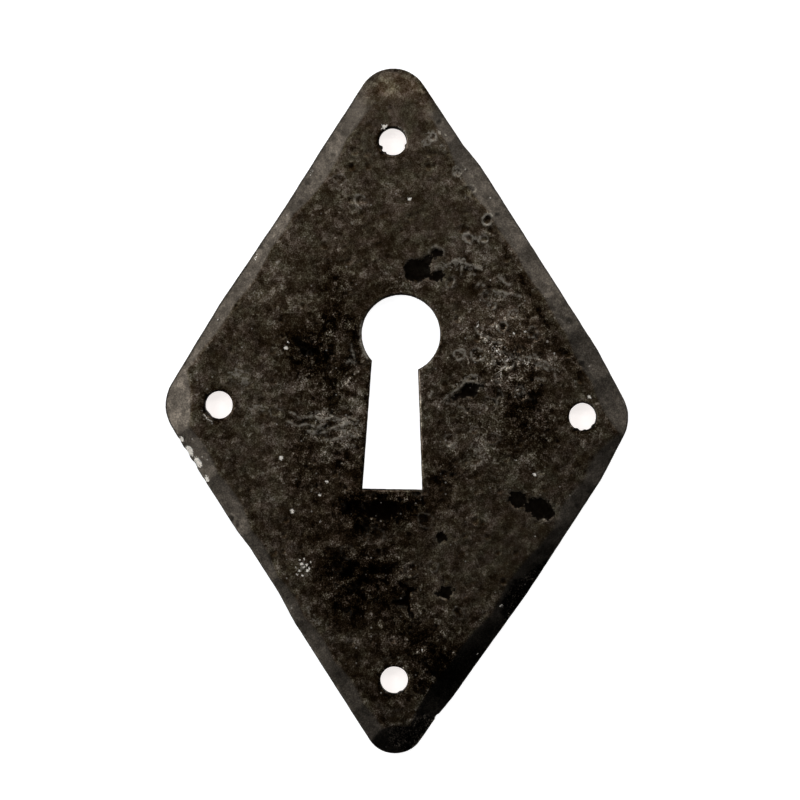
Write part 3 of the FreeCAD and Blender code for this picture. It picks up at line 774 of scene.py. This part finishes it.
class PlateSizes(bpy.types.PropertyGroup):
    mesh_spacing: bpy.props.FloatProperty(
        name="Front Mesh Spacing", description="Distance between the points of the front",
        default=0.18 * MM, precision=6, unit="LENGTH")
    back_spacing: bpy.props.FloatProperty(
        name="Back Mesh Spacing", description="Distance between the points of the back",
        default=0.5 * MM, precision=6, unit="LENGTH")
    wall_rows: bpy.props.IntProperty(
        name="Wall Rows", description="Rows of faces through the plate's thickness",
        default=5, min=1)
    rim_rounding: bpy.props.FloatProperty(
        name="Rim Rounding", description="Rounding of the beaten rim's front edge",
        default=0.14 * MM, precision=6, unit="LENGTH")
    back_rounding: bpy.props.FloatProperty(
        name="Back Rounding", description="Easing of the rims on the back",
        default=0.08 * MM, precision=6, unit="LENGTH")
    rim_raggedness: bpy.props.FloatProperty(
        name="Rim Raggedness", description="How far the cut rim wanders inwards",
        default=0.05 * MM, precision=6, unit="LENGTH")
    crease_rounds: bpy.props.IntProperty(
        name="Crease Rounds", description="How softly the hammer blows run into each other",
        default=1, min=0)
    tip_rounds: bpy.props.IntProperty(
        name="Tip Rounds", description="How much softer still the creases of the worn tip are",
        default=40, min=0)
    swell_depth: bpy.props.FloatProperty(
        name="Swell Depth", description="Height of the swells that the hammer left on the flat",
        default=0.035 * MM, precision=6, unit="LENGTH")
    swell_width: bpy.props.FloatProperty(
        name="Swell Width", description="Distance from one swell to the next",
        default=6 * MM, precision=6, unit="LENGTH")
    grit_depth: bpy.props.FloatProperty(
        name="Grit Depth", description="Height of the gritty scale",
        default=0.03 * MM, precision=6, unit="LENGTH")
    grit_width: bpy.props.FloatProperty(
        name="Grit Width", description="Distance between grains of scale",
        default=0.9 * MM, precision=6, unit="LENGTH")
    pit_depth: bpy.props.FloatProperty(
        name="Pit Depth", description="Depth of the small round pits",
        default=0.045 * MM, precision=6, unit="LENGTH")
    pit_spacing: bpy.props.FloatProperty(
        name="Pit Spacing", description="Distance between the small round pits",
        default=1.7 * MM, precision=6, unit="LENGTH")
    pit_radius: bpy.props.FloatProperty(
        name="Pit Radius", description="Radius of the small round pits",
        default=0.5 * MM, precision=6, unit="LENGTH")


class StageSizes(bpy.types.PropertyGroup):
    camera_distance: bpy.props.FloatProperty(
        name="Camera Distance", description="From the camera to the plate's front face",
        default=0.45, unit="LENGTH")
    frame_width: bpy.props.FloatProperty(
        name="Frame Width", description="Width of the view at the plate's front face",
        default=88.57 * MM, precision=6, unit="LENGTH")
    floor_drop: bpy.props.FloatProperty(
        name="Floor Drop", description="Gap between the plate's lowest point and the floor",
        default=15 * MM, precision=6, unit="LENGTH")
    card_gap: bpy.props.FloatProperty(
        name="Card Gap", description="Gap between the plate's back and the pale card behind it",
        default=0.15 * MM, precision=6, unit="LENGTH")


class ESCUTCHEON_OT_build_plate(bpy.types.Operator):
    """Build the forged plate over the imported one"""
    bl_idname = "escutcheon.build_plate"
    bl_label = "Build Forged Plate"

    def execute(self, context):
        sizes = context.scene.escutcheon_plate
        points, faces, rim_distance, in_front = build_plate_mesh(sizes)
        points[:, 1] = soften_creases(
            points, faces, in_front, sizes.crease_rounds, sizes.tip_rounds)
        mesh = bpy.data.meshes.new("forged_plate")
        mesh.from_pydata(points.tolist(), [], faces)
        shell = bmesh.new()
        shell.from_mesh(mesh)
        bmesh.ops.recalc_face_normals(shell, faces=shell.faces)
        shell.to_mesh(mesh)
        shell.free()
        for polygon in mesh.polygons:
            polygon.use_smooth = True
        beaten = smoothstep(0.01 * MM, 0.07 * MM, points[:, 1] - cad_box[0].y)
        marks = mark_plate(points, in_front)
        # The tip at the top was worn until its face and its beaten end look alike.
        beaten *= smoothstep(0.6, 1.3, from_worn_tip(points))
        marks["beaten"] = np.where(in_front > 0, beaten, 0.0)
        marks["face"] = np.where(in_front > 0, smoothstep(0, 0.35 * MM, rim_distance)
                                 * (1 - 0.55 * beaten), 0.0)
        for name, values in marks.items():
            mesh.attributes.new(name, "FLOAT", "POINT").data.foreach_set(
                "value", values.astype(np.float32))
        plate = link_object("forged_plate", mesh)
        add_relief(plate, forged_iron(), sizes)
        print("triangles", sum(len(p.vertices) - 2 for p in mesh.polygons))
        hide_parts(PLATE_NODE)
        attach(plate, BODY)
        return {"FINISHED"}


def forged_iron():
    """Mild steel, hot-forged and left under its own black fire scale.

    The scale is a thin, hard, half-metallic skin: near black with a brown or grey
    cast, a dull broken gleam, paler on worn lips and on the hammered rim.
    """
    material = bpy.data.materials.new("forged mild steel under fire scale")
    material.use_nodes = True
    tree = material.node_tree
    tree.nodes.clear()
    add = partial(add_node, tree)
    place = add("ShaderNodeTexCoord", output="Object")
    mark = {name: add("ShaderNodeAttribute", output="Fac", attribute_name=name) for name in (
        "beaten", "broken", "tone", "rim_tone", "rust", "patch", "pale", "lip", "line",
        "ring", "fleck", "pit_lip", "pit_floor", "crust")}

    # Noises: width in mm, detail, seed, the part of the noise used and what it becomes.
    cloud = {}
    for name, width, detail, seed, low, high, to_low, to_high in (
            ("mottle", 4.0, 3.0, 1.0, 0.3, 0.7, -0.5, 0.5),
            ("blotch", 1.5, 4.0, 2.0, 0.42, 0.58, -0.4, 0.4),
            ("speckle", 0.42, 2.0, 3.0, 0.25, 0.75, -0.6, 0.6),
            ("dust", 0.16, 1.0, 4.0, 0.25, 0.75, -1.5, 1.5),
            ("curly", 2.0, 2.0, 6.0, 0.44, 0.6, 0.1, 1.1),
            ("olive", 1.6, 3.0, 8.0, 0.4, 0.6, 0.0, 1.0),
            ("torn", 0.4, 2.0, 5.0, 0.4, 0.6, 0.05, 1.1),
            ("frayed", 0.34, 2.0, 15.0, 0.4, 0.58, 0.1, 1.2),
            ("ragged", 0.4, 2.0, 10.0, 0.3, 0.7, -0.3, 0.3),
            ("shore", 0.35, 2.0, 9.0, 0.3, 0.7, -0.22, 0.22),
            ("chipped", 0.14, 1.0, 16.0, 0.3, 0.7, -0.22, 0.22),
            ("crimped", 0.25, 1.0, 18.0, 0.3, 0.7, -0.07, 0.07),
            ("sheen", 1.1, 3.0, 11.0, 0.35, 0.75, 0.33, 0.5),
            ("grain", 0.22, 2.0, 12.0, 0.0, 1.0, 0.0, 1.0)):
        noise_node = add(NOISE, {"Vector": place, "W": seed, "Scale": 1 / (width * MM),
                                 "Detail": detail, "Roughness": 0.6}, noise_dimensions="4D")
        cloud[name] = add(RANGE, (noise_node, low, high, to_low, to_high))

    # Ragged crumbs of scale, each with its own tone.
    forms = add(MATH, (cloud["mottle"], cloud["blotch"]), operation="ADD")
    for width in (0.9, 0.42):
        bent = add(NOISE, {"Vector": place, "Scale": 1 / (0.5 * width * MM), "Detail": 2.0},
                   output="Color")
        bent = add(VECTOR, {0: bent, "Scale": 0.8 * width * MM}, operation="SCALE")
        bent = add(VECTOR, (place, bent), operation="ADD")
        shade = add("ShaderNodeTexVoronoi", {"Vector": bent, "Scale": 1 / (width * MM)},
                    output="Color")
        shade = add(RANGE, (add("ShaderNodeSeparateXYZ", (shade,)), 0.0, 1.0, -0.8, 0.8))
        forms = add(MATH, (forms, shade), operation="ADD")
    # Thin closed lines, the rims of burst blisters: one level of a smooth noise.
    there = add(RANGE, (mark["broken"], -0.1, 0.45, 0.25, 1.7))
    there = add(MATH, (there, cloud["curly"]), operation="MULTIPLY")
    for width, height, seed in ((1.3, 0.6, 13.0), (0.9, 0.42, 14.0), (0.6, 0.5, 17.0)):
        curl = add(NOISE, {"Vector": place, "W": seed, "Scale": 1 / (width * MM),
                           "Detail": 0.0}, noise_dimensions="4D")
        curl = add(MATH, (curl, height), operation="SUBTRACT")
        curl = add(RANGE, (add(MATH, (curl,), operation="ABSOLUTE"), 0.025, 0.0, 0.0, 1.1))
        forms = add(MATH, (curl, there, forms), operation="MULTIPLY_ADD")

    # The beaten rim is calmer than the flat, but where its painted shade is deepest. Under
    # that painted shade the scale is the rougher: its specks still catch the light.
    broken = add(MATH, (mark["broken"], 1.0), operation="ADD")
    # The rim's painted light and shade joins the scale's tone here.
    tone = add(MATH, (mark["beaten"], mark["rim_tone"], mark["tone"]), operation="MULTIPLY_ADD")
    calm = add(RANGE, (mark["rim_tone"], -0.5, -0.8, 0.3, 0.9))
    calm = add(RANGE, (mark["beaten"], 0.0, 1.0, 1.0, calm))
    fine = add(RANGE, (mark["rim_tone"], -0.5, -0.8, 0.5, 1.4))
    fine = add(RANGE, (mark["beaten"], 0.0, 1.0, 1.0, fine))
    grains = add(MATH, (cloud["speckle"], cloud["dust"]), operation="ADD")
    grains = add(MATH, (grains, fine), operation="MULTIPLY")
    level = add(MATH, (forms, calm, grains), operation="MULTIPLY_ADD")
    level = add(MATH, (level, broken), operation="MULTIPLY")
    level = add(MATH, (level, add(RANGE, (tone, 0.0, -3.0, 1.0, 2.4)), tone),
                operation="MULTIPLY_ADD")
    level = add(MATH, (mark["pit_floor"], -1.2, level), operation="MULTIPLY_ADD")
    level = add(MATH, (mark["beaten"], 0.1, level), operation="MULTIPLY_ADD")
    gain = add(MATH, (2.0, level), operation="POWER")

    # Deep scale is brown, scale that stands up is greyer.
    pale = add(MATH, (mark["pit_lip"], 0.2, mark["lip"]), operation="MULTIPLY_ADD")
    line = add(MATH, (mark["ring"],), operation="ABSOLUTE")
    line = add(MATH, (0.13, line), operation="SUBTRACT")
    line = add(MATH, (line, mark["line"]), operation="MAXIMUM")
    line = add(MATH, (line, cloud["crimped"]), operation="ADD")
    line = add(RANGE, (line, -0.03, 0.06, 0.35, 1.2))
    pale = add(MATH, (pale, line), operation="MULTIPLY")
    pale = add(MATH, (pale, cloud["frayed"]), operation="MULTIPLY")
    crusty = add(MATH, (mark["pale"], cloud["ragged"]), operation="ADD")
    crusty = add(RANGE, (crusty, -0.05, 0.1, 0.0, 0.8))
    pale = add(MATH, (crusty, cloud["torn"], pale), operation="MULTIPLY_ADD")
    edge = add(MATH, (mark["patch"], cloud["shore"]), operation="ADD")
    shore = add(RANGE, (edge, -0.35, -0.02, 0.0, 0.35))
    shore = add(MATH, (shore, cloud["torn"]), operation="MULTIPLY")
    shore = add(MATH, (shore, add(RANGE, (mark["tone"], -3.0, -1.0))), operation="MULTIPLY")
    black = add(RANGE, (edge, 0.0, 0.1, 0.0, 0.95))
    # Sparks are single grains worn bare, their near-white partly a painted glint, and lie
    # closest where the scale is broken.
    cells = add("ShaderNodeTexVoronoi", {"Vector": place, "Scale": 1 / (0.55 * MM)}, output=None)
    chance = add("ShaderNodeSeparateXYZ", (cells["Color"],), output=None)
    spark_glint = add(MATH, (mark["broken"], 0.25, chance[0]), operation="MULTIPLY_ADD")
    spark_glint = add(RANGE, (spark_glint, 0.91, 0.98, 0.0, 0.65))
    spark_glint = add(MATH, (spark_glint, chance[1]), operation="MULTIPLY")
    spark_glint = add(MATH, (spark_glint, fine), operation="MULTIPLY")
    spark_glint = add(MATH, (spark_glint, add(RANGE, (cells["Distance"], 0.22, 0.1, 0.0, 1.0))),
                operation="MULTIPLY")
    bright_and_glint = add(MATH, (mark["fleck"], cloud["chipped"]), operation="ADD")
    bright_and_glint = add(RANGE, (bright_and_glint, 0.28, 0.5, 0.0, 1.0))
    bright_and_glint = add(MATH, (bright_and_glint, spark_glint), operation="MAXIMUM")

    colour = linear("#3e392d")
    for share, hue in (
            (cloud["olive"], "#413830"),
            (add(RANGE, (level, 0.5, -2.0, 0.0, 1.0)), "#463521"),
            (add(MATH, (mark["rust"], 0.3), operation="MULTIPLY"), "#463629"),
            (add(RANGE, (level, 0.9, 2.4, 0.0, 0.8)), "#3d3a35"),
            (mark["beaten"], "#403b35")):
        colour = add(MIX, {0: share, 6: colour, 7: linear(hue)}, output=2, data_type="RGBA")
    colour = add(VECTOR, {0: colour, "Scale": gain}, operation="SCALE")
    # The near-white of the flecks and sparks is partly a painted glint.
    for share, hue in (
            (pale, "#8b857a"), (shore, "#5e5950"), (black, "#040201"), (bright_and_glint, "#f2ece2")):
        colour = add(MIX, {0: share, 6: colour, 7: linear(hue)}, output=2, data_type="RGBA")

    rough = add(MATH, (black, 0.15, cloud["sheen"]), operation="MULTIPLY_ADD")
    grain = add("ShaderNodeBump", {"Height": cloud["grain"], "Strength": 0.25,
                                   "Distance": 0.03 * MM})
    shader = add("ShaderNodeBsdfPrincipled", {
        "Base Color": colour, "Metallic": add(RANGE, (bright_and_glint, 0.0, 1.0, 1.0, 0.0)),
        "Roughness": rough, "Normal": grain})
    add("ShaderNodeOutputMaterial", {"Surface": shader})
    return material


# Studio

# Soft lights, placed by the direction from the plate: name, direction across and
# up in degrees (0 is straight in front), distance, width, height, radiance.
LIGHTS = (
    ("left_panel", -34, 4, 0.9, 0.26, 0.74, 6.6),
    ("top_strip", 17, 26, 0.9, 0.7, 0.2, 5.8),
    ("overhead", 180, 76, 0.9, 0.7, 0.5, 4.0),
    ("low_left", -58, -24, 0.9, 0.35, 0.35, 2.0),
    ("back_right", 135, 10, 0.9, 0.6, 0.6, 4.0),
    ("back_left", 215, 35, 0.9, 0.5, 0.5, 4.0),
)


def pale_paper(name, colour, glow, reflectance, one_sided):
    """Matt white studio paper: it glows a little to the eye, and keeps shadows."""
    material = bpy.data.materials.new(name)
    material.use_nodes = True
    tree = material.node_tree
    tree.nodes.clear()
    add = partial(add_node, tree)
    rays = add("ShaderNodeLightPath", output=None)
    seen = add(MATH, (rays["Is Camera Ray"], rays["Is Glossy Ray"]), operation="MAXIMUM")
    seen = add(MATH, (seen, rays["Is Transmission Ray"]), operation="MAXIMUM")
    strength = add(MATH, (seen, glow), operation="MULTIPLY")
    light = add("ShaderNodeEmission", {"Color": linear(colour), "Strength": strength})
    matt = [reflectance * share for share in linear(colour)[:3]]
    paper = add("ShaderNodeBsdfDiffuse", {"Color": (*matt, 1.0)})
    surface = add("ShaderNodeAddShader", (light, paper))
    if one_sided:
        behind = add("ShaderNodeNewGeometry", output="Backfacing")
        facing = add(MATH, (1.0, behind), operation="SUBTRACT")
        far = add(MATH, (rays["Ray Length"], 5 * MM), operation="GREATER_THAN")
        shown = add(MATH, (facing, far), operation="MULTIPLY")
        shown = add(MATH, (shown, seen), operation="MULTIPLY")
        surface = add("ShaderNodeMixShader", (shown, add("ShaderNodeBsdfTransparent"), surface))
    add("ShaderNodeOutputMaterial", {"Surface": surface})
    return material


class ESCUTCHEON_OT_build_stage(bpy.types.Operator):
    """Set the camera, the soft lights, the pale floor and the card behind the plate"""
    bl_idname = "escutcheon.build_stage"
    bl_label = "Build Studio"

    def execute(self, context):
        sizes = context.scene.escutcheon_stage
        low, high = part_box(PLATE_NODE)
        aim = Vector((-0.11 * MM, low.y, -7.31 * MM))

        camera_data = bpy.data.cameras.new("camera")
        camera_data.sensor_width = 36
        camera_data.lens = 36 * sizes.camera_distance / sizes.frame_width
        camera_data.clip_start = 0.01
        camera = bpy.data.objects.new("camera", camera_data)
        context.scene.collection.objects.link(camera)
        camera.location = aim - Vector((0, sizes.camera_distance, 0))
        camera.rotation_euler = (math.pi / 2, 0, 0)
        context.scene.camera = camera

        for name, across, up, distance, width, height, radiance in LIGHTS:
            lamp = bpy.data.lights.new(name, "AREA")
            lamp.shape = "RECTANGLE"
            lamp.size, lamp.size_y = width, height
            lamp.energy = radiance * math.pi * width * height
            holder = bpy.data.objects.new(name, lamp)
            context.scene.collection.objects.link(holder)
            a, e = math.radians(across), math.radians(up)
            toward = Vector((math.sin(a) * math.cos(e), -math.cos(a) * math.cos(e), math.sin(e)))
            holder.location = aim + toward * distance
            holder.rotation_mode = "QUATERNION"
            holder.rotation_quaternion = toward.to_track_quat("Z", "Y")
            holder.visible_camera = False

        world = bpy.data.worlds.new("studio_air")
        world.use_nodes = True
        world.node_tree.nodes["Background"].inputs["Color"].default_value = (0.02, 0.02, 0.02, 1)
        context.scene.world = world
        context.scene.view_settings.view_transform = "Standard"

        # Floor that turns up into a wall all round, far enough away to be only a tone.
        profile = [(0.0, 0.0), (2.2, 0.0), (2.7, 0.12), (2.95, 0.45), (3.0, 0.9), (3.0, 3.0)]
        ring = 64
        verts = [(0, 0, 0)]
        for reach, rise in profile[1:]:
            verts += [(reach * math.cos(t), reach * math.sin(t), rise)
                      for t in np.linspace(0, 2 * math.pi, ring, endpoint=False)]
        faces = [(0, 1 + i, 1 + (i + 1) % ring) for i in range(ring)]
        for level in range(len(profile) - 2):
            start = 1 + level * ring
            faces += [(start + i, start + ring + i, start + ring + (i + 1) % ring,
                       start + (i + 1) % ring) for i in range(ring)]
        floor_z = low.z - sizes.floor_drop
        mesh = bpy.data.meshes.new("studio_floor")
        mesh.from_pydata([(x, y, z + floor_z) for x, y, z in verts], [], faces)
        for polygon in mesh.polygons:
            polygon.use_smooth = True
        floor = link_object("studio_floor", mesh)
        mesh.materials.append(pale_paper("pale floor paper", "#ffffff", 0.7, 0.35, False))
        # The lower edges of the real plate mirror a dark room, so reflections miss the floor.
        floor.visible_glossy = False
        floor.visible_diffuse = False

        card_y = high.y + sizes.card_gap
        card = [[(-0.16, card_y, floor_z), (0.16, card_y, floor_z),
                 (0.16, card_y, 0.15), (-0.16, card_y, 0.15)]]
        # Behind the nail holes the card lies in the shade of the plate.
        shaded = [[(x * MM + 2.4 * MM * math.cos(t), high.y + sizes.card_gap / 2,
                    z * MM + 2.4 * MM * math.sin(t)) for t in np.linspace(0, 2 * math.pi, 24)[:-1]]
                  for x, z in NAIL_HOLES]
        for name, sheets, colour, glow, reflectance in (
                ("pale_card", card, "#ffffff", 0.95, 0.4),
                ("shaded_card", shaded, "#fff9f6", 0.84, 0.5)):
            mesh = bpy.data.meshes.new(name)
            corners = [corner for sheet in sheets for corner in sheet]
            starts = np.cumsum([0] + [len(sheet) for sheet in sheets])
            mesh.from_pydata(corners, [], [tuple(range(a, b)) for a, b in zip(starts, starts[1:])])
            sheet = link_object(name, mesh)
            mesh.materials.append(
                pale_paper(name.replace("_", " "), colour, glow, reflectance, True))
            sheet.visible_shadow = False
            sheet.visible_diffuse = False
        return {"FINISHED"}


class ESCUTCHEON_PT_panel(bpy.types.Panel):
    bl_label = "Forged Escutcheon"
    bl_idname = "ESCUTCHEON_PT_panel"
    bl_space_type = "VIEW_3D"
    bl_region_type = "UI"
    bl_category = "Escutcheon"

    def draw(self, context):
        for group, operator in (
                (context.scene.escutcheon_plate, ESCUTCHEON_OT_build_plate),
                (context.scene.escutcheon_stage, ESCUTCHEON_OT_build_stage)):
            column = self.layout.column()
            for name in group.__annotations__:
                column.prop(group, name)
            column.operator(operator.bl_idname)


CLASSES = (PlateSizes, StageSizes, ESCUTCHEON_OT_build_plate, ESCUTCHEON_OT_build_stage,
           ESCUTCHEON_PT_panel)


def register():
    for cls in CLASSES:
        bpy.utils.register_class(cls)
    bpy.types.Scene.escutcheon_plate = bpy.props.PointerProperty(type=PlateSizes)
    bpy.types.Scene.escutcheon_stage = bpy.props.PointerProperty(type=StageSizes)


def unregister():
    del bpy.types.Scene.escutcheon_stage
    del bpy.types.Scene.escutcheon_plate
    for cls in reversed(CLASSES):
        bpy.utils.unregister_class(cls)


def main():
    register()
    bpy.ops.escutcheon.build_stage()
    bpy.ops.escutcheon.build_plate()


if __name__ == "__main__":
    main()
